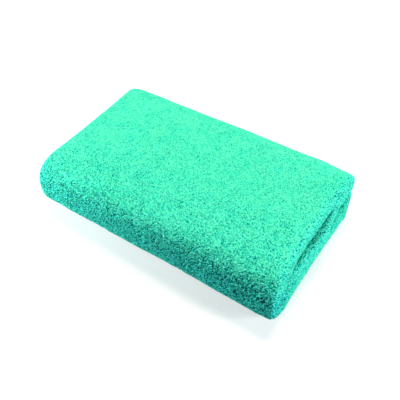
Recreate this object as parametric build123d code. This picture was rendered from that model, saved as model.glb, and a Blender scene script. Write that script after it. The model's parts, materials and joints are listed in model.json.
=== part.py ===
from build123d import *
import os
from math import pi

# A terry towel folded in four along its length and then in three across, like a letter.
# Millimetres. +Z is up, and the towel lies along X. The origin is the middle of the
# footprint on the surface that the towel rests on. The smooth front fold faces -Y.
CLOTH_LENGTH = 1400.0  # the cut cloth, hem to hem along X
CLOTH_WIDTH = 600.0  # the cut cloth, round the leaves from free edge to free edge
FOLDS_ALONG = 4  # plies in each leaf
LEAVES = 3  # bottom, middle and top leaf

PLY = 6.0  # one thickness of pressed terry, loops on both sides
PLY_GAP = 0.3
LEAF_GAP = 0.5
HEM_PLY = 5.2  # the hems are woven flat, so they are thinner than the pile
STITCH_PLY = 3.6  # the seams pull the cloth thinner still
SIDE_HEM = 9.0  # width of the hems along the long edges
END_HEM = 14.0  # width of the hems across the short edges
SEAM = 1.2  # width of one line of stitching

LENGTH = CLOTH_LENGTH / FOLDS_ALONG
LEAF = FOLDS_ALONG * PLY + (FOLDS_ALONG - 1) * PLY_GAP
HEIGHT = LEAVES * LEAF + (LEAVES - 1) * LEAF_GAP
PITCH = PLY + PLY_GAP

# The leaves' right and left ends. The top leaf and the front fold are drawn in a little.
ENDS = {
    "bottom_leaf": (LENGTH / 2 - 2.5, -LENGTH / 2 + 2.5),
    "back_fold": (LENGTH / 2, -LENGTH / 2),
    "middle_leaf": (LENGTH / 2, -LENGTH / 2),
    "front_fold_lower": (LENGTH / 2 - 6.5, -LENGTH / 2 + 5.0),
    "front_fold_upper": (LENGTH / 2 - 6.5, -LENGTH / 2 + 5.0),
    "top_leaf": (LENGTH / 2 - 8.0, -LENGTH / 2 + 5.0),
}

FRONT_R = HEIGHT / 2  # outer radius of the front fold, which wraps all three leaves
BACK_R = LEAF + LEAF_GAP / 2  # outer radius of the back fold, bottom leaf to middle leaf
FOLD_MEAN_R = FRONT_R - LEAF / 2
BACK_MEAN_R = BACK_R - LEAF / 2
EDGE_INSET = 2.0  # the top leaf's free edge stops this far short of the back
SLACK = 10.5  # cloth taken up by the leaves' own waves

# The cloth's width is three flat runs and the two folds, which settles the depth.
FLAT_RUNS = CLOTH_WIDTH - SLACK - pi * (FOLD_MEAN_R + BACK_MEAN_R) + EDGE_INSET
DEPTH = round((FLAT_RUNS + 3 * FRONT_R + 2 * BACK_R) / 3, 0)
FRONT_Y = -DEPTH / 2 + FRONT_R
BACK_Y = DEPTH / 2 - BACK_R
MIDDLE_Y = FRONT_Y + 0.5  # free edge of the middle leaf, where the front fold begins
TOP_Y = DEPTH / 2 - EDGE_INSET  # free edge of the top leaf, over the back fold
MIDDLE_TOP = 2 * BACK_R

# The front fold opens about two lines, one in each quarter, a quarter turn each.
HINGE_OFFSET = pi * FOLD_MEAN_R / 4
HINGE_Y = FRONT_Y - HINGE_OFFSET
LOWER_HINGE_Z = HEIGHT / 2 - HINGE_OFFSET
UPPER_HINGE_Z = HEIGHT / 2 + HINGE_OFFSET


def strip(x_from, x_to, ply, thickness=PLY):
    """A flat run of one ply, as drawn in the section: X against depth into the leaf."""
    middle = ply * PITCH + PLY / 2
    return Pos((x_from + x_to) / 2, middle) * Rectangle(abs(x_to - x_from), thickness)


def end_loop(x_tip, first_ply, last_ply, side):
    """Half a ring where the cloth turns back at an end. side is +1 right and -1 left."""
    outer = ((last_ply - first_ply) * PITCH + PLY) / 2
    middle = first_ply * PITCH + outer
    ring = Circle(outer) - Circle(outer - PLY)
    half = Pos(side * outer, 0) * Rectangle(2 * outer, 2 * outer)
    return Pos(x_tip - side * outer, middle) * (ring & half)


def loop_start(x_tip, first_ply, last_ply, side):
    return x_tip - side * ((last_ply - first_ply) * PITCH + PLY) / 2


def outer_layers(right, left):
    """The outermost and innermost ply of a leaf, one piece round the right end."""
    turn = loop_start(right, 0, 3, 1)
    top = strip(loop_start(left, 0, 1, -1), turn, 0)
    under = strip(left + END_HEM + SEAM, turn, 3)
    return top + end_loop(right, 0, 3, 1) + under


def inner_layers(right, left):
    """The two plies between them, one piece round the right end."""
    turn = loop_start(right, 0, 3, 1)
    tip = turn + (PITCH + PLY) / 2
    top = strip(loop_start(left, 0, 1, -1), turn, 1)
    under = strip(left + END_HEM + SEAM, turn, 2)
    return top + end_loop(tip, 1, 2, 1) + under


def left_turn(right, left):
    """The turn at the left end that joins the two outer plies."""
    return end_loop(left, 0, 1, -1)


def end_hem(ply):
    return lambda right, left: strip(left, left + END_HEM, ply, HEM_PLY)


def end_seam(ply):
    start = END_HEM
    return lambda right, left: strip(left + start, left + start + SEAM, ply, STITCH_PLY)


def side_edge(thickness):
    """The whole serpentine of a leaf at one thickness, for the hem along a long edge."""

    def section(right, left):
        turn = loop_start(right, 0, 3, 1)
        first = loop_start(left, 0, 1, -1)
        inset = (PLY - thickness) / 2
        shape = strip(first, turn, 0, thickness) + strip(first, turn, 1, thickness)
        shape += strip(left, turn, 2, thickness) + strip(left, turn, 3, thickness)
        for tip, ply_a, ply_b, side in (
            (right, 0, 3, 1),
            (turn + (PITCH + PLY) / 2, 1, 2, 1),
            (left, 0, 1, -1),
        ):
            outer = ((ply_b - ply_a) * PITCH + PLY) / 2
            ring = Circle(outer - inset) - Circle(outer - PLY + inset)
            half = Pos(side * outer, 0) * Rectangle(2 * outer, 2 * outer)
            shape += Pos(tip - side * outer, ply_a * PITCH + outer) * (ring & half)
        return shape

    return section


def flat(section, leaf, y_from, y_to):
    """A leaf's section drawn out along Y. Depth runs up in the bottom leaf, else down."""
    drawing = section(*ENDS[leaf])
    if leaf == "bottom_leaf":
        at = Plane(origin=(0, y_to, 0), x_dir=(1, 0, 0), z_dir=(0, -1, 0))
    else:
        level = HEIGHT if leaf == "top_leaf" else MIDDLE_TOP
        at = Plane(origin=(0, y_from, level), x_dir=(1, 0, 0), z_dir=(0, 1, 0))
    return extrude(at * drawing, y_to - y_from)


def turned(section, fold, y, z, radius, start, sweep):
    """A leaf's section turned about the X line at (y, z), from the bottom at 0 degrees."""
    drawing = section(*ENDS[fold])
    at = Plane(origin=(0, y, z - radius), x_dir=(1, 0, 0), z_dir=(0, -1, 0))
    axis = Axis((0, y, z), (1, 0, 0))
    return revolve((at * drawing).rotate(axis, start), axis, sweep)


SECTIONS = {
    "outer_layers": outer_layers,
    "inner_layers": inner_layers,
    "left_turn": left_turn,
    "end_hem_1": end_hem(2),
    "end_hem_2": end_hem(3),
    "end_seam_1": end_seam(2),
    "end_seam_2": end_seam(3),
}
MIDDLE_FROM = MIDDLE_Y + SIDE_HEM + SEAM
TOP_TO = TOP_Y - SIDE_HEM - SEAM

parts = {}
for name, section in SECTIONS.items():
    parts["bottom_leaf_" + name] = flat(section, "bottom_leaf", FRONT_Y, BACK_Y)
    parts["middle_leaf_" + name] = flat(section, "middle_leaf", MIDDLE_FROM, BACK_Y)
    parts["top_leaf_" + name] = flat(section, "top_leaf", FRONT_Y, TOP_TO)
    parts["back_fold_" + name] = turned(
        section, "back_fold", BACK_Y, BACK_R, BACK_R, 0, 180
    )
    parts["front_fold_lower_" + name] = turned(
        section, "front_fold_lower", FRONT_Y, FRONT_R, FRONT_R, 0, -90
    )
    parts["front_fold_upper_" + name] = turned(
        section, "front_fold_upper", FRONT_Y, FRONT_R, FRONT_R, -90, -90
    )

# The hems along the two long edges, each in its own folded shape, and their stitching.
for leaf, edge, inward in (("middle_leaf", MIDDLE_Y, 1), ("top_leaf", TOP_Y, -1)):
    hem_in = edge + inward * SIDE_HEM
    seam_in = hem_in + inward * SEAM
    parts[leaf + "_side_hem"] = flat(
        side_edge(HEM_PLY), leaf, min(edge, hem_in), max(edge, hem_in)
    )
    parts[leaf + "_side_seam"] = flat(
        side_edge(STITCH_PLY), leaf, min(hem_in, seam_in), max(hem_in, seam_in)
    )

os.makedirs("parts", exist_ok=True)
for name, shape in parts.items():
    solids = shape.solids()
    print(f"{name}: {len(solids)} solid, {sum(s.volume for s in solids) / 1000:.1f} cm3")
    export_step(solids[0] if len(solids) == 1 else Compound(solids), f"parts/{name}.step")

print(f"height {HEIGHT:.2f}, length {LENGTH:.1f}, depth {DEPTH:.1f}")
print(f"hinge lines: y {HINGE_Y:.3f}, z {LOWER_HINGE_Z:.3f} and {UPPER_HINGE_Z:.3f}")
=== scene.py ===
import json
import math
from collections import namedtuple

import bpy
import numpy as np
from mathutils import Matrix, Vector


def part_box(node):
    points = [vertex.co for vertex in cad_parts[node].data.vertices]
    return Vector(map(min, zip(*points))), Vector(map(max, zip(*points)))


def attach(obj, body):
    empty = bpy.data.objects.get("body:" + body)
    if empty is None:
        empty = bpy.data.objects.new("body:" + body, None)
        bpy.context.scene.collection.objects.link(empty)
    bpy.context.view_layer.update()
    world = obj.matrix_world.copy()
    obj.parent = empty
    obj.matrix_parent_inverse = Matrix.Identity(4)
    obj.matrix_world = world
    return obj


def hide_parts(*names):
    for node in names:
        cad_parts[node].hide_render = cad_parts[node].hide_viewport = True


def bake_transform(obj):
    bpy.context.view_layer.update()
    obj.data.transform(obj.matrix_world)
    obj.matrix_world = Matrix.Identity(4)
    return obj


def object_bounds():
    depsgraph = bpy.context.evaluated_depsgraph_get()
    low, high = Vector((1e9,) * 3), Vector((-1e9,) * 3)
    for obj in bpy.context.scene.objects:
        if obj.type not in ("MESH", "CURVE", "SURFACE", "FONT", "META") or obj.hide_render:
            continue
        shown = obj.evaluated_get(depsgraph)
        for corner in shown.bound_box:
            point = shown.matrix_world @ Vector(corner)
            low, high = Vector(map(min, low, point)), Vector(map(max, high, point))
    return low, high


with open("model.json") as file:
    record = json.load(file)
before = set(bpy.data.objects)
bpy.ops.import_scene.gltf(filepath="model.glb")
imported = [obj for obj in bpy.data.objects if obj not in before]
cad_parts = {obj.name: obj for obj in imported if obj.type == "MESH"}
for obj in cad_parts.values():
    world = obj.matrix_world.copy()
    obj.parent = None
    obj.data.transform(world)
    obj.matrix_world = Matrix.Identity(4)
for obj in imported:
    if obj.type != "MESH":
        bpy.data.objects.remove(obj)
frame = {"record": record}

# A terry towel folded in four along its length and then in three across, like a letter.
# Metres, in the CAD frame: X along the fold lines, -Y towards the round front fold, Z up.
MM = 0.001
CAD_LOW, CAD_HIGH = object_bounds()

# ---------------------------------------------------------------- sizes from the frame
LENGTH = CAD_HIGH.x - CAD_LOW.x
HEIGHT = CAD_HIGH.z - CAD_LOW.z
BOTTOM_LOW, BOTTOM_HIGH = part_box("bottom_leaf_outer_layers")
LEAF = BOTTOM_HIGH.z - BOTTOM_LOW.z
FRONT_Y, BACK_Y = BOTTOM_LOW.y, BOTTOM_HIGH.y
FRONT_R = HEIGHT / 2
MIDDLE_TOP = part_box("middle_leaf_outer_layers")[1].z
BACK_R = MIDDLE_TOP / 2
MIDDLE_EDGE_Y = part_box("middle_leaf_side_hem")[0].y
TOP_EDGE_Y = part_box("top_leaf_side_hem")[1].y
SIDE_SEAM_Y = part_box("top_leaf_side_seam")
SIDE_SEAM_IN = TOP_EDGE_Y - (SIDE_SEAM_Y[0].y + SIDE_SEAM_Y[1].y) / 2
END_SEAM_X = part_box("middle_leaf_end_seam_1")
END_SEAM_IN = (END_SEAM_X[0].x + END_SEAM_X[1].x) / 2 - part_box("middle_leaf_side_hem")[0].x

PLIES = 4
PLY_GAP = 0.3 * MM
PLY = (LEAF - (PLIES - 1) * PLY_GAP) / PLIES
PITCH = PLY + PLY_GAP
HALF = PLY / 2

# ---------------------------------------------------------------- mesh steps
FINE = 0.6 * MM  # faces that show
MEDIUM = 1.8 * FINE  # faces that show only when the top leaf is open
UNDERSIDE = 4 * FINE  # along the bottom leaf, which lies on the ground
COARSE = 7.0 * MM  # faces between the plies
LEAST_STEPS, LEAST_TURN_STEPS = 2, 5

# ---------------------------------------------------------------- noise
NOISE_CELLS = 256  # the noise repeats after this many cells, a power of two
NOISE_GAIN = 1.6  # brings the noise to about -1 to 1


def gradient_noise(points, seed):
    """Smooth noise in space, about -1 to 1, one value for each point."""
    rng = np.random.default_rng(seed)
    order = rng.permutation(NOISE_CELLS)
    slopes = rng.normal(size=(NOISE_CELLS, 3))
    slopes /= np.linalg.norm(slopes, axis=1)[:, None]
    cell = np.floor(points).astype(np.int64)
    f = points - cell
    u = f * f * f * (f * (f * 6 - 15) + 10)
    total = np.zeros(points.shape[:-1])
    last = NOISE_CELLS - 1
    for i in (0, 1):
        for j in (0, 1):
            for k in (0, 1):
                corner = order[(cell[..., 0] + i) & last]
                corner = order[(corner + cell[..., 1] + j) & last]
                corner = order[(corner + cell[..., 2] + k) & last]
                offset = f - np.array((i, j, k))
                value = np.einsum("...a,...a->...", slopes[corner], offset)
                weight = np.where(i, u[..., 0], 1 - u[..., 0])
                weight = weight * np.where(j, u[..., 1], 1 - u[..., 1])
                weight = weight * np.where(k, u[..., 2], 1 - u[..., 2])
                total += weight * value
    return total * NOISE_GAIN


def smooth(x, low, high):
    """0 below low, 1 above high, and an even S-curve between them."""
    t = np.clip((x - low) / (high - low), 0, 1)
    return t * t * (3 - 2 * t)


# ---------------------------------------------------------------- the section of a leaf
LIP_POWER = 5.0  # the right end's turn is flatter than a half circle, with tighter corners
LOOPED, HEM_EDGE, COVERED = 1.0, 0.6, 0.0  # how much of the pile's depth a face carries
FRONT_FACE, REAR_FACE = 1, 0  # the hems are turned under on to the cloth's rear face
FLAT = 0.9  # a normal whose depth part is larger than this stands on a flat run

SectionPoints = namedtuple("SectionPoints", "share shift depth nx nd pile face")


def power_direction(a, b, exponent):
    """A unit circle's direction pushed out to a superellipse."""
    scale = (np.abs(a) ** exponent + np.abs(b) ** exponent) ** (-1 / exponent)
    return a * scale, b * scale


class Section:
    """The closed outline of the four plies, X against depth. Each point is the middle of
    its ply plus half the ply's thickness along the normal. share says how far the point
    is from the left end (0) to the right end (1), and shift is added to that."""

    def __init__(self):
        self.rows = []

    def add(self, share, shift, depth, nx, nd, pile, face):
        self.rows.append((share, shift, depth, nx, nd, pile, face))

    def run(self, start, end, depth, nd, step, pile, face):
        """A flat run. start and end are (share, shift)."""
        length = LENGTH - abs(start[1]) - abs(end[1])
        count = max(LEAST_STEPS, round(length / step))
        for i in range(count):
            t = i / count
            share = start[0] + (end[0] - start[0]) * t
            shift = start[1] + (end[1] - start[1]) * t
            self.add(share, shift, depth, 0.0, nd, pile, face)

    def turn(
        self, share, shift, depth, radius, start, end, outward, step, pile, face, power=2.0
    ):
        """Part of a ring of cloth, from start to end degrees. power over 2 squares it."""
        length = radius * abs(math.radians(end - start)) + HALF
        count = max(LEAST_TURN_STEPS, round(length / step))
        for i in range(count):
            a = math.radians(start + (end - start) * i / count)
            c, s = power_direction(math.cos(a), math.sin(a), power)
            x = shift + radius * c
            self.add(share, x, depth + radius * s, outward * c, outward * s, pile, face)

    def arrays(self):
        return SectionPoints(*(np.array(column) for column in zip(*self.rows)))


def leaf_section():
    """Outer ply, right outer turn, innermost ply and back, then the two plies between."""
    s = Section()
    c, b, a, d = (HALF + i * PITCH for i in range(PLIES))
    middle = LEAF / 2
    outer, inner = (d - c) / 2, (a - b) / 2
    left_turn = (b - c) / 2
    right = (1.0, -(outer + HALF))
    left = (0.0, left_turn + HALF)
    end = (0.0, HALF)
    left_depth = (b + c) / 2
    s.run(left, right, c, -1, FINE, LOOPED, FRONT_FACE)
    s.turn(*right, middle, outer, -90, 90, 1, FINE, LOOPED, FRONT_FACE, LIP_POWER)
    s.run(right, end, d, 1, MEDIUM, LOOPED, FRONT_FACE)
    s.turn(*end, d, 0.0, 90, 270, 1, FINE, HEM_EDGE, FRONT_FACE)
    s.run(end, right, d, -1, COARSE, COVERED, REAR_FACE)
    s.turn(*right, middle, outer, 90, -90, -1, COARSE, COVERED, REAR_FACE, LIP_POWER)
    s.run(right, left, c, 1, COARSE, COVERED, REAR_FACE)
    s.turn(*left, left_depth, left_turn, 270, 90, -1, COARSE, COVERED, REAR_FACE)
    s.run(left, right, b, -1, COARSE, COVERED, REAR_FACE)
    s.turn(*right, middle, inner, -90, 90, 1, COARSE, COVERED, REAR_FACE)
    s.run(right, end, a, 1, COARSE, COVERED, REAR_FACE)
    s.turn(*end, a, 0.0, 90, 270, 1, FINE, HEM_EDGE, FRONT_FACE)
    s.run(end, right, a, -1, COARSE, COVERED, FRONT_FACE)
    s.turn(*right, middle, inner, 90, -90, -1, COARSE, COVERED, FRONT_FACE)
    s.run(right, left, b, 1, COARSE, COVERED, FRONT_FACE)
    s.turn(*left, left_depth, left_turn, 90, 270, 1, FINE, LOOPED, FRONT_FACE)
    return s.arrays()


# ---------------------------------------------------------------- the path round the leaves
INNER_R = FRONT_R - LEAF  # inner radius of the front fold
FRONT_MEAN_R = FRONT_R - LEAF / 2
BACK_MEAN_R = BACK_R - LEAF / 2
RUNS = {
    "middle": BACK_Y - MIDDLE_EDGE_Y,
    "back": math.pi * BACK_MEAN_R,
    "bottom": BACK_Y - FRONT_Y,
    "front": math.pi * FRONT_MEAN_R,
    "top": TOP_EDGE_Y - FRONT_Y,
}
EDGE_ROUND = 3.0 * MM  # the long free edges round off over this length
EDGE_STEPS = 5

PathRows = namedtuple("PathRows", "t v y z a b radius")


def steps(length, step):
    """Even steps from 0 to just short of 1."""
    count = max(LEAST_STEPS, round(length / step))
    return np.arange(count) / count


def edge_steps(length, step):
    """Even steps with a finer start, for the rounded free edge."""
    edge = EDGE_ROUND * (1 - np.cos(np.linspace(0, math.pi / 2, EDGE_STEPS + 1)[:-1]))
    rest = EDGE_ROUND + steps(length - EDGE_ROUND, step) * (length - EDGE_ROUND)
    return np.concatenate([edge, rest]) / length


def row_place(run, t):
    """The centre (y, z) and direction (a, b) of a row across the cloth, at t along a run.
    They turn depth into a place in the YZ plane, together with the run's outer radius."""
    angle = math.pi * t
    if run == "middle":
        return MIDDLE_EDGE_Y + t * RUNS[run], MIDDLE_TOP - FRONT_R, 0, 1
    if run == "back":
        return BACK_Y, MIDDLE_TOP - BACK_R, math.sin(angle), math.cos(angle)
    if run == "bottom":
        return BACK_Y - t * RUNS[run], FRONT_R, 0, -1
    if run == "front":
        return FRONT_Y, FRONT_R, -math.sin(angle), -math.cos(angle)
    return FRONT_Y + t * RUNS[run], HEIGHT - FRONT_R, 0, 1


def path_rows():
    """The run's name and the PathRows entry for each row across the cloth. t is how far
    along its run a row lies, and v how far along the whole path. The last row lies twice
    in one place, so that the cap's rim carries no pile."""
    top = 1 - edge_steps(RUNS["top"], FINE)[::-1]
    places = {
        "middle": edge_steps(RUNS["middle"], MEDIUM),
        "back": steps(BACK_R * math.pi, FINE),
        "bottom": steps(RUNS["bottom"], UNDERSIDE),
        "front": steps(FRONT_R * math.pi, FINE),
        "top": np.concatenate([[0.0], top[1:], [1.0]]),
    }
    names, rows = [], []
    before = 0.0
    for run in RUNS:
        radius = BACK_R if run == "back" else FRONT_R
        for t in places[run]:
            names.append(run)
            rows.append((t, before + t * RUNS[run], *row_place(run, t), radius))
        before += RUNS[run]
    return np.array(names), PathRows(*np.array(rows).T)


def ends_along(stations, v):
    """A smooth curve through (v, offset) stations, in metres."""
    at, offset = np.array(stations).T
    before = np.clip(np.searchsorted(at, v, side="right") - 1, 0, len(at) - 2)
    u = (v - at[before]) / (at[before + 1] - at[before])
    u = u * u * (3 - 2 * u)
    return offset[before] * (1 - u) + offset[before + 1] * u


START = dict(zip(RUNS, np.cumsum([0, *RUNS.values()])[:-1]))
PATH = sum(RUNS.values())
HALF_LENGTH = LENGTH / 2

# How far the cloth's right and left ends stand in from the box, round the path.
RIGHT_IN = [
    (0.0, 7.0 * MM),
    (START["middle"] + 0.2 * RUNS["middle"], 4.5 * MM),
    (START["middle"] + 0.55 * RUNS["middle"], 0.5 * MM),
    (START["middle"] + 0.85 * RUNS["middle"], 7.0 * MM),
    (START["back"], 9.5 * MM),
    (START["back"] + 0.5 * RUNS["back"], 6.0 * MM),
    (START["bottom"], 3.0 * MM),
    (START["bottom"] + 0.5 * RUNS["bottom"], 4.5 * MM),
    (START["front"], 5.5 * MM),
    (START["front"] + 0.5 * RUNS["front"], 6.0 * MM),
    (START["top"], 8.0 * MM),
    (START["top"] + 0.15 * RUNS["top"], 11.0 * MM),
    (START["top"] + 0.5 * RUNS["top"], 9.5 * MM),
    (PATH, 4.0 * MM),
]
LEFT_IN = [
    (0.0, 1.0 * MM),
    (START["back"], 1.0 * MM),
    (START["bottom"] + 0.5 * RUNS["bottom"], 4.0 * MM),
    (START["front"] + 0.5 * RUNS["front"], 7.5 * MM),
    (START["top"] + 0.2 * RUNS["top"], 6.5 * MM),
    (PATH, 4.0 * MM),
]
TOP_CORNER_R = 14 * MM  # the free edges' corners are rounded off in plan
MIDDLE_CORNER_R = 1.5 * MM
SQUARE_LOW, SQUARE_HIGH = 0.0, 0.6  # how much squarer than a circle the front fold is
SAG = 0.88  # the top leaf's free edge sinks this share of the way on to the back fold
SAG_REACH = 0.98  # share of the back fold's radius at which the sinking stops
CORNER_SAG = 3.5 * MM  # and its right corner sinks further still
CORNER_FROM = 0.75  # share of the top leaf's width where that begins
MOUTH = 6.5 * MM  # the top leaf's right end gapes this far over the middle leaf
MOUTH_LENGTH = 45 * MM
GAPE_FROM, GAPE_FULL = 0.12, 0.3  # shares of the top leaf's width, from the front fold
GAPE_FADES, GAPE_ENDS = 0.3, 0.95
FAN_LENGTH = 28 * MM
SLIT = 1.2 * MM  # the front fold's plies spread at its right end, until this gap is left
LEAST_SINE = 0.01  # keeps that gap finite where the front fold starts and ends
LEAST_SIZE = 1e-12  # and a normal, where rows lie in one place


def corner_in(v):
    """How far a rounded corner draws the ends in, near a free edge."""
    drawn = 0
    for edge, radius in ((v, MIDDLE_CORNER_R), (PATH - v, TOP_CORNER_R)):
        short = np.clip(1 - edge / radius, 0, 1)
        drawn = drawn + radius * (1 - np.sqrt(1 - short**2))
    return drawn


def sagging(y):
    """How far the top leaf sinks where the back fold curves away below it."""
    past = np.clip(y - BACK_Y, 0, SAG_REACH * BACK_R)
    return SAG * (BACK_R - np.sqrt(BACK_R**2 - past**2))


WAVE = 95 * MM  # the leaves' gentle unevenness
WAVE_SIZE = np.array((1.2, 1.0, 1.4)) * MM
WAVE_SEED = 11
RIPPLE = 26 * MM
RIPPLE_SIZE = np.array((0.45, 0.45, 0.5)) * MM
RIPPLE_SEED = 31
GROUND_HOLD = 0.6 * HEIGHT  # below this the ground holds the cloth level, more and more


def warp(points):
    """Bends space a little, as hand folding does, without letting plies cross."""
    moved = points.copy()
    hold = smooth(points[..., 2], 0.0, GROUND_HOLD)
    bends = ((WAVE, WAVE_SIZE, WAVE_SEED), (RIPPLE, RIPPLE_SIZE, RIPPLE_SEED))
    for size, scale, seed in bends:
        for axis in range(3):
            shift = gradient_noise(points / size, seed + axis) * scale[axis]
            moved[..., axis] += shift * (hold if axis == 2 else 1)
    return moved


def end_gape(near_end, along_top):
    """How much thinner the top leaf gets at its right end, over the middle leaf."""
    opening = MOUTH * near_end * smooth(along_top, GAPE_FROM, GAPE_FULL)
    return opening * smooth(-along_top, -GAPE_ENDS, -GAPE_FADES)


def end_fan(from_left, front, t):
    """How much thicker the front fold gets at its right end, as its plies spread there."""
    hollow = np.minimum(INNER_R, SLIT / np.maximum(np.sin(math.pi * t), LEAST_SINE))
    at_tip = smooth(from_left, LENGTH - FAN_LENGTH, LENGTH - HALF)
    return at_tip * np.where(front, INNER_R - hollow, 0)


def surface(section, names, path, thickness):
    """Row by column places of the cloth's surface, without its pile."""
    share, shift, depth, nx, nd = (c[None, :] for c in section[:5])
    t, v, y, z, a, b, radius = (r[:, None] for r in path)
    right = HALF_LENGTH - ends_along(RIGHT_IN, v) - corner_in(v)
    left = -HALF_LENGTH + ends_along(LEFT_IN, v) + corner_in(v)
    x = left + (right - left) * share + shift + nx * thickness
    d = depth + nd * thickness
    top, front = (names == "top")[:, None], (names == "front")[:, None]
    from_left = share * LENGTH + shift
    near_end = smooth(from_left, LENGTH - MOUTH_LENGTH, LENGTH - HALF)
    along_top = np.where(top, t, 0)
    d = d * (1 + (end_fan(from_left, front, t) - end_gape(near_end, along_top)) / LEAF)
    # a times b is a half midway round each quarter of the fold, and 0 where it starts.
    squareness = np.where(b > 0, SQUARE_HIGH, SQUARE_LOW) * np.abs(a * b) * 2
    exponent = 2 + np.where(front, squareness * np.clip(1 - d / LEAF, 0, 1), 0)
    a2, b2 = power_direction(a, b, exponent)
    arm = radius - d
    corner = CORNER_SAG * near_end * smooth(along_top, CORNER_FROM, 1.0)
    rise = z + arm * b2 - np.where(top, sagging(y) + corner, 0)
    places = np.stack([x, y + arm * a2, rise], axis=-1)
    return warp(places)


def grid_normals(p):
    """Outward normals of a grid that is closed from column to column."""
    across = np.roll(p, -1, axis=1) - np.roll(p, 1, axis=1)
    along = np.empty_like(p)
    along[1:-1] = p[2:] - p[:-2]
    along[0], along[-1] = p[1] - p[0], p[-1] - p[-2]
    n = np.cross(across, along)
    size = np.linalg.norm(n, axis=-1, keepdims=True)
    return n / np.maximum(size, LEAST_SIZE)


# ---------------------------------------------------------------- pile
PILE_DEPTH = 1.8 * MM
LOOP = 2.1 * MM  # the pile's loops wander at about this spacing
LOOP_BEND, LOOP_BEND_SIZE = 0.35, 1.7  # how far they wander, and over how many loops
LOOP_REACH = 0.42  # a loop reaches this far from the noise's zero line
SECOND_SIZE, SECOND_SHIFT, SECOND_HEIGHT = 1.25, 7.3, 0.85  # finer and lower loops between
CLUMP = 9 * MM
CLUMP_LEVEL, CLUMP_SWING = 0.86, 0.22
BEND_SEED, LOOP_SEED, SECOND_SEED, CLUMP_SEED = 70, 51, 52, 53


def ridges(points, seed):
    """1 along the lines where the noise is zero, falling to 0 on both sides."""
    return 1 - np.minimum(1, np.abs(gradient_noise(points, seed)) / LOOP_REACH)


def pile_height(points):
    """0 in the pits between loops to 1 on a loop's crown."""
    wide = points / (LOOP_BEND_SIZE * LOOP)
    bend = np.stack([gradient_noise(wide, BEND_SEED + i) for i in range(3)], -1)
    p = points / LOOP + LOOP_BEND * bend
    first = ridges(p, LOOP_SEED)
    second = ridges(p * SECOND_SIZE + SECOND_SHIFT, SECOND_SEED)
    height = np.maximum(first, SECOND_HEIGHT * second)
    clump = gradient_noise(points / CLUMP, CLUMP_SEED)
    return np.clip(height * (CLUMP_LEVEL + CLUMP_SWING * clump), 0, 1)


# How far the loops part on the right end's turn, the top leaf, under the gape and on the
# back fold. Parting deepens the pits and also paints shade into the colour.
END_PARTING, TOP_PARTING, MOUTH_PARTING, BACK_PARTING = 0.38, 0.18, 0.45, 0.6
PARTS_FROM, PARTS_FULLY = -0.02, 0.16  # shares of the front fold, from the ground up
PARTING_FADES, PARTING_FADED = 0.5, 0.88
TOP_FADED = 0.5  # share of the top leaf's width where its parting has died out
LEFT_PARTING, RIGHT_GAIN = 0.7, 0.3  # the loops part less towards the left end, so the painted shade there is lighter
TURN_FROM = 0.2  # the right end's turn counts from here, as the normal's X part
MOUTH_SIDE = -0.3  # the side of a leaf that faces the gape, as the normal's depth part


def parting_and_shade(section, names, path):
    """1 on the front fold, where the bent cloth parts its loops and its ground shows, and
    less on the top leaf beside it, on the back fold, on the right end's turn and on the
    middle leaf under the top leaf's gaping end. It deepens the pits, and the colour uses
    it for painted shade: darker, bluer pits with more contrast."""
    t = path.t
    fading = smooth(-t, -PARTING_FADED, -PARTING_FADES)
    fold = TOP_PARTING + (1 - TOP_PARTING) * fading
    folds = np.where(names == "front", fold * smooth(t, PARTS_FROM, PARTS_FULLY), 0)
    folds = np.where(names == "top", TOP_PARTING * smooth(-t, -TOP_FADED, 0.0), folds)
    folds = np.where(names == "back", BACK_PARTING * np.sin(math.pi * t), folds)
    at_end = END_PARTING * smooth(section.nx, TURN_FROM, 1.0) * section.face
    from_left = section.share * LENGTH + section.shift
    # the middle leaf's face under the gaping end: deeper pits and painted shade in that
    # recess
    in_mouth = smooth(from_left, LENGTH - MOUTH_LENGTH, LENGTH - HALF)
    in_mouth = MOUTH_PARTING * (in_mouth * (section.nd < MOUTH_SIDE)) * section.face
    at_end = np.maximum(at_end, in_mouth * (names == "middle")[:, None])
    outside = section.nd < FLAT
    along = LEFT_PARTING + RIGHT_GAIN * section.share
    return np.maximum(folds[:, None] * outside * along, at_end)


GROOVE, GROOVE_WIDTH = 0.22, 0.9 * MM  # a seam draws the cloth in by this share
LEAST_ROUNDING = 0.06  # keeps the free edges' last row from closing to a line


def groove_at(distance, seam):
    return np.exp(-(((distance - seam) / GROOVE_WIDTH) ** 2))


def thickness_along(section, path):
    """Half the cloth's thickness: thinner at seams, rounded off at the long free edges."""
    share, shift, depth = (c[None, :] for c in section[:3])
    v = path.v[:, None]
    edge = np.minimum(v, PATH - v)
    rounding = np.sqrt(np.clip(1 - (1 - edge / EDGE_ROUND) ** 2, 0, 1))
    rounding = np.where(edge < EDGE_ROUND, np.maximum(rounding, LEAST_ROUNDING), 1.0)
    groove = 1 - GROOVE * groove_at(edge, SIDE_SEAM_IN)
    inner_plies = (depth > 2 * PITCH) & (share < 1)
    from_left = share * LENGTH + shift
    groove = groove * (1 - GROOVE * groove_at(from_left, END_SEAM_IN) * inner_plies)
    return HALF * rounding * groove


EDGE_PILE, EDGE_PILE_GAIN = 0.35, 0.65  # the pile is lower at the long free edges
EDGE_PILE_WIDTH = 4 * MM
LIFT = 0.55  # the share of the pile's depth that stands outside the pressed surface
PRESSED_LIFT = 0.12  # and where another leaf or the ground presses on it
PARTED_DEPTH = 0.4  # parted loops leave pits that are this much deeper
SAMPLE_ROW, SAMPLE_COLUMN = 10, 20  # a place on the top leaf's upper face


def pile_lift(section, names):
    """The share of the pile's depth that stands outside the surface, less where pressed."""
    covered = (names == "middle")[:, None] | (names == "bottom")[:, None]
    pressed = (section.nd[None, :] > FLAT) | covered
    return np.where(pressed, PRESSED_LIFT, LIFT)


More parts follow.
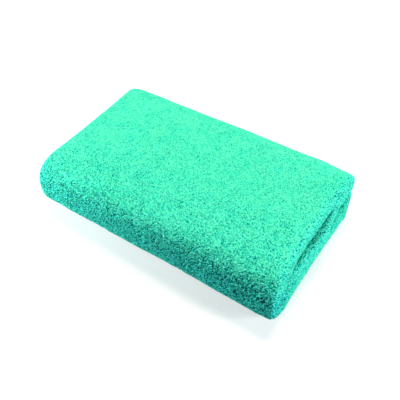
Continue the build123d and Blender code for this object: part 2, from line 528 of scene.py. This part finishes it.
section = leaf_section()
run_names, path = path_rows()
thickness = thickness_along(section, path)
base = surface(section, run_names, path, thickness)
normals = grid_normals(base)
top_row = int(np.flatnonzero(run_names == "top")[SAMPLE_ROW])
OUTWARD = 1 if normals[top_row, SAMPLE_COLUMN, 2] > 0 else -1
normals = normals * OUTWARD
height = pile_height(base)
edge_row = np.minimum(path.v, PATH - path.v)[:, None]
amount = section.pile[None, :] * np.ones((len(path.t), 1))
amount = amount * (EDGE_PILE + EDGE_PILE_GAIN * smooth(edge_row, 0.0, EDGE_PILE_WIDTH))
# The parting: it deepens the pits here, and the colours paint shade from it.
parted_and_shaded = parting_and_shade(section, run_names, path)
depth_of_pile = amount * PILE_DEPTH * (1 + PARTED_DEPTH * parted_and_shaded)
raised = height - 1 + pile_lift(section, run_names)
cloth = base + normals * (depth_of_pile * raised)[..., None]
floor_side = cloth[..., 2] < 0
cloth[..., 2] = np.where(floor_side, 0.0, cloth[..., 2])
shading_normals = grid_normals(cloth) * OUTWARD


# ---------------------------------------------------------------- materials
SHEEN_ROUGHNESS = 0.5


def principled(name, roughness, sheen, specular):
    material = bpy.data.materials.new(name)
    material.use_nodes = True
    nodes, links = material.node_tree.nodes, material.node_tree.links
    shader = nodes["Principled BSDF"]
    shader.inputs["Roughness"].default_value = roughness
    shader.inputs["Sheen Weight"].default_value = sheen
    shader.inputs["Sheen Roughness"].default_value = SHEEN_ROUGHNESS
    shader.inputs["Sheen Tint"].default_value = SHEEN_TINT
    shader.inputs["Specular IOR Level"].default_value = specular
    return material, nodes, links, shader


def ramp(nodes, links, source, stops):
    """A colour ramp. stops are (place, colour)."""
    node = nodes.new("ShaderNodeValToRGB")
    links.new(source, node.inputs["Fac"])
    elements = node.color_ramp.elements
    while len(elements) < len(stops):
        elements.new(0.5)
    for element, (place, colour) in zip(elements, stops):
        element.position = place
        element.color = (*colour, 1)
    return node.outputs["Color"]


def noise(nodes, links, vector, scale, detail):
    """Noise in space, with about scale cells to a metre."""
    node = nodes.new("ShaderNodeTexNoise")
    node.inputs["Scale"].default_value = scale
    node.inputs["Detail"].default_value = detail
    links.new(vector, node.inputs["Vector"])
    return node.outputs["Fac"]


def maths(nodes, links, operation, first, second):
    node = nodes.new("ShaderNodeMath")
    node.operation = operation
    for socket, value in zip(node.inputs, (first, second)):
        if isinstance(value, (int, float)):
            socket.default_value = value
        else:
            links.new(value, socket)
    return node.outputs[0]


def multiply_add(nodes, links, first, factor, added):
    output = maths(nodes, links, "MULTIPLY_ADD", first, factor)
    output.node.inputs[2].default_value = added
    return output


def attribute(nodes, name, output):
    node = nodes.new("ShaderNodeAttribute")
    node.attribute_name = name
    return node.outputs[output]


def wave(nodes, links, vector, direction, scale, distortion=0.0):
    node = nodes.new("ShaderNodeTexWave")
    node.bands_direction = direction
    node.inputs["Scale"].default_value = scale
    node.inputs["Distortion"].default_value = distortion
    links.new(vector, node.inputs["Vector"])
    return node.outputs["Fac"]


def add_bump(nodes, links, shader, source, strength, distance):
    bump = nodes.new("ShaderNodeBump")
    bump.inputs["Strength"].default_value = strength
    bump.inputs["Distance"].default_value = distance
    links.new(source, bump.inputs["Height"])
    links.new(bump.outputs["Normal"], shader.inputs["Normal"])


# The terry's colours by pile height, from painted shade in the pits between the loops to a
# painted highlight on their crowns.
SHADED_GROUND = (0.001, 0.080, 0.080)
SHADED_PIT = (0.006, 0.420, 0.320)
MID = (0.050, 0.880, 0.530)
CROWN = (0.165, 0.990, 0.600)
PARTED_SHADE_TINT = (0.54, 1.0, 1.25, 1)  # painted shade tint: less red and more blue where the loops part, mainly on the front fold
SHEEN_TINT = (0.10, 0.85, 0.60, 1)
TERRY_STOPS = [(0.0, SHADED_GROUND), (0.30, SHADED_PIT), (0.58, MID), (0.88, CROWN)]
WEAVE_STOPS = [(0.0, MID), (1.0, CROWN)]
YARN_SCALE, LOOP_SCALE, PATCH_SCALE = 760.0, 680.0, 28.0  # noise cells to a metre
LOOP_CONTRAST, PARTED_SHADE_CONTRAST = 0.5, 4.2  # plain, and what parting adds as painted shade
PATCH_SWING = 0.08
YARN_RELIEF = 2.0 * MM
WEAVE_SCALE, WEAVE_DISTORTION, WEAVE_RELIEF = 260.0, 0.6, 0.3 * MM
TWIST_SCALE, TWIST_RELIEF = 1100.0, 0.1 * MM


def terry_material():
    """Loops: painted shade between them and a painted highlight on their crowns, darker,
    bluer and more contrasted as painted shade where the loops part, with a relief of fine
    yarn.
    """
    material, nodes, links, shader = principled(
        "terry_pile", roughness=0.95, sheen=0.15, specular=0.05
    )
    rest = attribute(nodes, "rest_place", "Vector")
    pile = attribute(nodes, "pile_height", "Fac")
    parted_shade_mask = attribute(nodes, "parted_shade_mask", "Fac")
    yarn = noise(nodes, links, rest, YARN_SCALE, detail=3.0)
    patch = noise(nodes, links, rest, PATCH_SCALE, detail=2.0)
    loops = noise(nodes, links, rest, LOOP_SCALE, detail=0.0)
    # painted shade: the loops' colour contrast grows where they part
    spread = multiply_add(nodes, links, parted_shade_mask, PARTED_SHADE_CONTRAST, LOOP_CONTRAST)
    centred = maths(nodes, links, "SUBTRACT", loops, 0.5)
    level = maths(nodes, links, "MULTIPLY", centred, spread)
    level = maths(nodes, links, "ADD", level, pile)
    tint = multiply_add(nodes, links, patch, 2 * PATCH_SWING, -PATCH_SWING)
    level = maths(nodes, links, "ADD", level, tint)
    colour = ramp(nodes, links, level, TERRY_STOPS)
    # painted shade tint: less red and more blue where the loops part
    shade_tint = nodes.new("ShaderNodeMixRGB")
    shade_tint.blend_type = "MULTIPLY"
    shade_tint.inputs["Color2"].default_value = PARTED_SHADE_TINT
    links.new(parted_shade_mask, shade_tint.inputs["Fac"])
    links.new(colour, shade_tint.inputs["Color1"])
    links.new(shade_tint.outputs["Color"], shader.inputs["Base Color"])
    add_bump(nodes, links, shader, yarn, strength=1.0, distance=YARN_RELIEF)
    return material


def flat_weave_material():
    """The hems: plain weave with fine ribs and no pile."""
    material, nodes, links, shader = principled(
        "flat_weave", roughness=0.85, sheen=0.15, specular=0.15
    )
    rest = attribute(nodes, "rest_place", "Vector")
    ribs_x = wave(nodes, links, rest, "X", WEAVE_SCALE, WEAVE_DISTORTION)
    ribs_y = wave(nodes, links, rest, "Y", WEAVE_SCALE, WEAVE_DISTORTION)
    weave = maths(nodes, links, "MULTIPLY", ribs_x, ribs_y)
    colour = ramp(nodes, links, weave, WEAVE_STOPS)
    links.new(colour, shader.inputs["Base Color"])
    add_bump(nodes, links, shader, weave, strength=0.4, distance=WEAVE_RELIEF)
    return material


def thread_material():
    """Polyester sewing thread: twisted strands with a slight shine."""
    material, nodes, links, shader = principled(
        "sewing_thread", roughness=0.55, sheen=0.1, specular=0.4
    )
    rest = attribute(nodes, "rest_place", "Vector")
    twist = wave(nodes, links, rest, "DIAGONAL", TWIST_SCALE)
    colour = ramp(nodes, links, twist, WEAVE_STOPS)
    links.new(colour, shader.inputs["Base Color"])
    add_bump(nodes, links, shader, twist, strength=0.5, distance=TWIST_RELIEF)
    return material


TERRY, FLAT_WEAVE, THREAD = terry_material(), flat_weave_material(), thread_material()


# ---------------------------------------------------------------- cloth pieces
SEAM_HALF = 0.6 * MM
HEM_WIDTH = SIDE_SEAM_IN - SEAM_HALF
HEM_LENGTH = END_SEAM_IN - SEAM_HALF
PARTED_PIT_SHADE, PARTED_CROWN_LIGHT = 0.34, 0.42  # painted shade: parting darkens the pits' colour and lightens the highest crowns a little
SHOWN_LOW, SHOWN_GAIN, SHOWN_COVERED = 0.30, 0.65, 0.6  # pile height as the colours see it, painted darker in the pits and lighter on the crowns
COVERED_BELOW = 0.3  # faces with less pile than this have one even colour


def add_attribute(mesh, name, kind, key, values):
    layer = mesh.attributes.new(name, kind, "POINT")
    layer.data.foreach_set(key, np.asarray(values, np.float32).ravel())


STRIPS = 4  # the cloth's outline is cut into this many strips, one above another
STRIP_MARGIN = 0.02
CAP_PLACE = 0.999  # where all the corners of a cap lie on the map


def lay_out(mesh, rows, columns):
    """A map along the cloth, so that the exported colours stay in one piece. The two caps
    get no area, as they lie inside the cloth or in its rounded edge."""
    width = -(-columns // STRIPS)
    row, column = np.divmod(np.arange((rows - 1) * columns), columns)
    strip, place = np.divmod(column, width)
    across = np.array([0, 1, 1, 0])
    along = np.array([0, 0, 1, 1])
    if OUTWARD < 0:
        across, along = across[::-1], along[::-1]
    u = (place[:, None] + across) / width
    v = (row[:, None] + along) / (rows - 1)
    v = (strip[:, None] + STRIP_MARGIN + (1 - 2 * STRIP_MARGIN) * v) / STRIPS
    spread = np.full((len(mesh.loops), 2), CAP_PLACE)
    spread[: 4 * len(row)] = np.stack([u.ravel(), v.ravel()], -1)
    layer = mesh.uv_layers.new(name="OFBake")
    layer.uv.foreach_set("vector", spread.astype(np.float32).ravel())


def grid_corners(rows, columns):
    """The corners of the quads of a closed grid, then those of its two caps."""
    index = np.arange(rows * columns).reshape(rows, columns)
    right = np.roll(index, -1, axis=1)
    quads = np.stack([index[:-1], right[:-1], right[1:], index[1:]], -1).reshape(-1, 4)
    start_cap, end_cap = index[0], index[-1]
    if OUTWARD > 0:
        start_cap = start_cap[::-1]
    else:
        quads = quads[:, ::-1]
        end_cap = end_cap[::-1]
    return quads, np.concatenate([quads.ravel(), start_cap, end_cap])


def grid_mesh(name, places, quads, corners, columns):
    sizes = np.concatenate([np.full(len(quads), 4), [columns, columns]])
    starts = np.concatenate([[0], np.cumsum(sizes)[:-1]])
    mesh = bpy.data.meshes.new(name)
    mesh.vertices.add(len(places))
    mesh.vertices.foreach_set("co", places.astype(np.float32).ravel())
    mesh.loops.add(len(corners))
    mesh.loops.foreach_set("vertex_index", corners.astype(np.int32))
    mesh.polygons.add(len(sizes))
    mesh.polygons.foreach_set("loop_start", starts.astype(np.int32))
    return mesh


def woven_faces(first, last):
    """1 for each face on a hem's flat-woven side, 0 elsewhere and on the caps."""
    v = path.v[first:last][:, None]
    from_left = (section.share * LENGTH + section.shift)[None, :]
    side_hem = np.minimum(v, PATH - v) < HEM_WIDTH
    end_hem = (from_left < HEM_LENGTH) & (section.depth[None, :] > 2 * PITCH)
    woven = (side_hem | end_hem) & (section.face[None, :] == REAR_FACE)
    return np.append(woven.ravel(), [0, 0]).astype(np.int32)


def add_looks(mesh, places, first, last):
    """The values that the terry's material reads at each point, from which it paints shade
    in the pits and where the loops part.
    """
    shown = np.where(amount > COVERED_BELOW, SHOWN_LOW + SHOWN_GAIN * height, SHOWN_COVERED)
    # more painted shade where the loops part
    shown = shown - parted_and_shaded * (PARTED_PIT_SHADE - PARTED_CROWN_LIGHT * height)
    add_attribute(mesh, "rest_place", "FLOAT_VECTOR", "vector", places)
    add_attribute(mesh, "pile_height", "FLOAT", "value", shown[first : last + 1])
    add_attribute(mesh, "parted_shade_mask", "FLOAT", "value", parted_and_shaded[first : last + 1])


def cloth_piece(name, first, last):
    """A closed stretch of cloth from row first to row last, capped at both ends."""
    rows, columns = last - first + 1, cloth.shape[1]
    places = cloth[first : last + 1].reshape(-1, 3)
    point_normals = shading_normals[first : last + 1].reshape(-1, 3)
    quads, corners = grid_corners(rows, columns)
    mesh = grid_mesh(name, places, quads, corners, columns)
    mesh.polygons.foreach_set("material_index", woven_faces(first, last))
    mesh.update(calc_edges=True)
    lay_out(mesh, rows, columns)
    mesh.materials.append(TERRY)
    mesh.materials.append(FLAT_WEAVE)
    add_looks(mesh, places, first, last)
    mesh.shade_smooth()
    corner_normals = point_normals[corners]
    corner_normals[len(quads) * 4 :] = 0  # a zero leaves the caps their own normals
    mesh.normals_split_custom_set(corner_normals.tolist())
    piece = bpy.data.objects.new(name, mesh)
    bpy.context.scene.collection.objects.link(piece)
    return piece


row_count = len(run_names)
BACK_LAST = int(np.flatnonzero(run_names == "bottom")[0])
front_rows = np.flatnonzero(run_names == "front")
FRONT_MIDDLE = int(front_rows[len(front_rows) // 2])
nodes_in = frame["record"]["behaviour"]["bodies"]
BODY_OF_LEAVES, BODY_OF_FOLD, BODY_OF_TOP = "folded_base", "front_fold", "top_leaf"


def nodes_named(*starts, seams=False):
    """The CAD nodes whose names start so: the stitching, or all but the stitching."""
    names = [n for group in nodes_in.values() for n in group]
    return [n for n in names if n.startswith(starts) and ("_seam" in n) == seams]


def lower_bend(piece):
    """Bakes the piece's place into its mesh."""
    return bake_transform(piece)


def upper_bend(piece):
    """Bakes the piece's place into its mesh."""
    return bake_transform(piece)


middle_cloth = cloth_piece("middle_leaf_cloth", 0, BACK_LAST)
bottom_cloth = cloth_piece("bottom_leaf_cloth", BACK_LAST, FRONT_MIDDLE)
top_cloth = cloth_piece("top_leaf_cloth", FRONT_MIDDLE, row_count - 1)
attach(middle_cloth, BODY_OF_LEAVES)
lower_bend(bottom_cloth)
upper_bend(top_cloth)
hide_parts(*nodes_named("middle_leaf", "back_fold"))
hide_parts(*nodes_named("bottom_leaf", "front_fold_lower"))
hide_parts(*nodes_named("top_leaf", "front_fold_upper"))


# ---------------------------------------------------------------- stitching
STITCH, STITCH_GAP, THREAD_R = 2.4 * MM, 0.9 * MM, 0.28 * MM
THREAD_SIDES = 6
# Each ring of a stitch: its place along the stitch, and its share of the radius.
THREAD_RINGS = ((-0.5, 0.35), (-0.36, 1.0), (0.36, 1.0), (0.5, 0.35))
SUNK = 0.15 * MM  # the stitches lie this deep in the cloth
SEAM_MARGIN = 4  # rows that the end stitching leaves clear at a free edge


def stitch_faces(first):
    """The sides and ends of one stitch whose vertices start at first."""
    faces = []
    for k in range(len(THREAD_RINGS) - 1):
        for i in range(THREAD_SIDES):
            j = (i + 1) % THREAD_SIDES
            low, high = first + k * THREAD_SIDES, first + (k + 1) * THREAD_SIDES
            faces.append((low + i, low + j, high + j, high + i))
    faces.append(tuple(first + i for i in reversed(range(THREAD_SIDES))))
    top = first + (len(THREAD_RINGS) - 1) * THREAD_SIDES
    faces.append(tuple(top + i for i in range(THREAD_SIDES)))
    return faces


def capsule_along(places):
    """Vertices and faces of short thread stitches, one for each pair of places."""
    verts, faces = [], []
    for start, end in places:
        axis = end - start
        along = axis.normalized()
        side = along.orthogonal().normalized()
        other = along.cross(side)
        centre = (start + end) / 2
        faces += stitch_faces(len(verts))
        for t, r in THREAD_RINGS:
            for i in range(THREAD_SIDES):
                a = 2 * math.pi * i / THREAD_SIDES
                out = side * math.cos(a) + other * math.sin(a)
                verts.append(centre + axis * t + out * (THREAD_R * r))
    return verts, faces


def stitches(line):
    """Cuts a polyline into stitches with gaps between them."""
    gaps = np.linalg.norm(np.diff(line, axis=0), axis=1)
    at = np.concatenate([[0], np.cumsum(gaps)])
    count = int(at[-1] // (STITCH + STITCH_GAP))
    starts = (np.arange(count) + 0.5) * at[-1] / count - STITCH / 2
    first = np.stack([np.interp(starts, at, line[:, i]) for i in range(3)], -1)
    last = np.stack([np.interp(starts + STITCH, at, line[:, i]) for i in range(3)], -1)
    return [(Vector(a), Vector(b)) for a, b in zip(first, last)]


def stitch_piece(name, lines):
    pairs = [pair for line in lines for pair in stitches(line)]
    verts, faces = capsule_along(pairs)
    mesh = bpy.data.meshes.new(name)
    mesh.from_pydata([tuple(p) for p in verts], [], faces)
    mesh.materials.append(THREAD)
    add_attribute(mesh, "rest_place", "FLOAT_VECTOR", "vector", [tuple(p) for p in verts])
    mesh.shade_smooth()
    piece = bpy.data.objects.new(name, mesh)
    bpy.context.scene.collection.objects.link(piece)
    return piece


on_front = section.face == FRONT_FACE
outer_columns = np.flatnonzero((section.nd < -FLAT) & (section.depth < PITCH) & on_front)
inner_columns = np.flatnonzero((section.nd > FLAT) & (section.depth > 3 * PITCH) & on_front)


def line_across(v, columns):
    """A seam along X, at distance v round the path, on the given columns."""
    row = int(np.argmin(np.abs(path.v - v)))
    return base[row, columns] - normals[row, columns] * SUNK


def line_along(first, last):
    """A seam along the path on the inner ply's face, near the left end."""
    from_left = (section.share * LENGTH + section.shift)[inner_columns]
    column = inner_columns[int(np.argmin(np.abs(from_left - END_SEAM_IN)))]
    return base[first:last, column] - normals[first:last, column] * SUNK


def side_lines(v):
    """The same seam on the outer and on the inner ply."""
    return [line_across(v, outer_columns), line_across(v, inner_columns)]


middle_side = stitch_piece("middle_leaf_side_stitching", side_lines(SIDE_SEAM_IN))
top_side = stitch_piece("top_leaf_side_stitching", side_lines(PATH - SIDE_SEAM_IN))
middle_end = stitch_piece(
    "middle_leaf_end_stitching", [line_along(SEAM_MARGIN, BACK_LAST)]
)
bottom_end = stitch_piece(
    "bottom_leaf_end_stitching", [line_along(BACK_LAST, FRONT_MIDDLE)]
)
top_end = stitch_piece(
    "top_leaf_end_stitching", [line_along(FRONT_MIDDLE, row_count - SEAM_MARGIN)]
)
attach(middle_side, BODY_OF_LEAVES)
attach(top_side, BODY_OF_TOP)
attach(middle_end, BODY_OF_LEAVES)
lower_bend(bottom_end)
upper_bend(top_end)
side_seams = {n for n in nodes_named("middle", "top", seams=True) if "side" in n}
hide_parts("middle_leaf_side_seam")
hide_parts("top_leaf_side_seam")
for piece, starts in (
    (middle_end, ("middle_leaf", "back_fold")),
    (bottom_end, ("bottom_leaf", "front_fold_lower")),
    (top_end, ("top_leaf", "front_fold_upper")),
):
    seams = nodes_named(*starts, seams=True)
    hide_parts(*(n for n in seams if n not in side_seams))


# ---------------------------------------------------------------- floor, light, camera
FLOOR_COLOUR = (0.62, 0.55, 0.50)  # evens out the lamps' cool colours
FLOOR_GLOW = 0.56  # lifts the floor to white with faint shadows, without lighting the towel
FLOOR_ROUGHNESS = 0.9
FLOOR_HALF, FLOOR_DROP = 4.0, 0.3 * MM


def floor_material():
    material = bpy.data.materials.new("floor")
    material.use_nodes = True
    nodes, links = material.node_tree.nodes, material.node_tree.links
    shader = nodes["Principled BSDF"]
    shader.inputs["Base Color"].default_value = (*FLOOR_COLOUR, 1)
    shader.inputs["Roughness"].default_value = FLOOR_ROUGHNESS
    shader.inputs["Emission Color"].default_value = (1, 1, 1, 1)
    path_kind = nodes.new("ShaderNodeLightPath").outputs["Is Camera Ray"]
    glow = maths(nodes, links, "MULTIPLY", path_kind, FLOOR_GLOW)
    links.new(glow, shader.inputs["Emission Strength"])
    return material


def make_floor():
    half = FLOOR_HALF
    mesh = bpy.data.meshes.new("floor")
    corners = [(-half, -half, 0), (half, -half, 0), (half, half, 0), (-half, half, 0)]
    mesh.from_pydata(corners, [], [(0, 1, 2, 3)])
    mesh.materials.append(floor_material())
    floor = bpy.data.objects.new("floor", mesh)
    floor.location.z = -FLOOR_DROP
    bpy.context.scene.collection.objects.link(floor)


def area_light(name, place, aim, size, power, colour):
    light = bpy.data.lights.new(name, "AREA")
    light.shape = "DISK"
    light.size = size
    light.energy = power
    light.color = colour
    lamp = bpy.data.objects.new(name, light)
    lamp.location = place
    direction = Vector(aim) - Vector(place)
    lamp.rotation_euler = direction.to_track_quat("-Z", "Y").to_euler()
    lamp.visible_camera = False
    bpy.context.scene.collection.objects.link(lamp)


AMBIENT, AMBIENT_COLOUR = 0.15, (0.25, 0.55, 1.0)
BACKDROP = (0.62, 0.63, 0.64)  # seen past the floor's far edge, and lights nothing
LIGHTS = {  # place, size, power and colour
    "key": ((-0.16, 0.42, 1.30), 0.8, 20.6, (1.05, 1.0, 0.91)),
    "right": ((0.80, 0.10, 0.26), 0.2, 4.7, (0.84, 1.0, 1.10)),
    "left": ((-0.50, -0.34, 0.16), 0.2, 4.5, (0.78, 1.0, 1.08)),
}


def make_lights():
    world = bpy.data.worlds.new("studio")
    bpy.context.scene.world = world
    world.use_nodes = True
    nodes, links = world.node_tree.nodes, world.node_tree.links
    ambient = nodes["Background"]
    ambient.inputs["Color"].default_value = (*AMBIENT_COLOUR, 1)
    ambient.inputs["Strength"].default_value = AMBIENT
    seen = nodes.new("ShaderNodeBackground")
    seen.inputs["Color"].default_value = (*BACKDROP, 1)
    path_kind = nodes.new("ShaderNodeLightPath").outputs["Is Camera Ray"]
    mix = nodes.new("ShaderNodeMixShader")
    links.new(path_kind, mix.inputs["Fac"])
    links.new(ambient.outputs["Background"], mix.inputs[1])
    links.new(seen.outputs["Background"], mix.inputs[2])
    links.new(mix.outputs["Shader"], nodes["World Output"].inputs["Surface"])
    for name, (place, size, power, colour) in LIGHTS.items():
        area_light(name, place, (0, 0, HEIGHT / 2), size, power, colour)


AZIMUTH, ELEVATION, ROLL = (math.radians(x) for x in (36.13, 47.27, -2.73))
DISTANCE = 1.948 * LENGTH
LENS, SENSOR = 46.43, 36.0
CLIP_START = 0.01
AIM_RIGHT, AIM_UP = 0.017 * LENGTH, 0.031 * LENGTH


def make_camera():
    back = Vector(
        (
            math.sin(AZIMUTH) * math.cos(ELEVATION),
            -math.cos(AZIMUTH) * math.cos(ELEVATION),
            math.sin(ELEVATION),
        )
    )
    level = Vector((math.cos(AZIMUTH), math.sin(AZIMUTH), 0))
    rise = back.cross(level)
    right = level * math.cos(ROLL) + rise * math.sin(ROLL)
    up = rise * math.cos(ROLL) - level * math.sin(ROLL)
    data = bpy.data.cameras.new("camera")
    data.lens = LENS
    data.sensor_width = SENSOR
    data.clip_start = CLIP_START
    camera = bpy.data.objects.new("camera", data)
    turn = Matrix((right, up, back)).transposed().to_4x4()
    place = right * AIM_RIGHT + up * AIM_UP + back * DISTANCE
    camera.matrix_world = Matrix.Translation(place) @ turn
    bpy.context.scene.collection.objects.link(camera)
    bpy.context.scene.camera = camera


make_floor()
make_lights()
make_camera()
bpy.context.scene.view_settings.view_transform = "Standard"

bpy.context.view_layer.update()
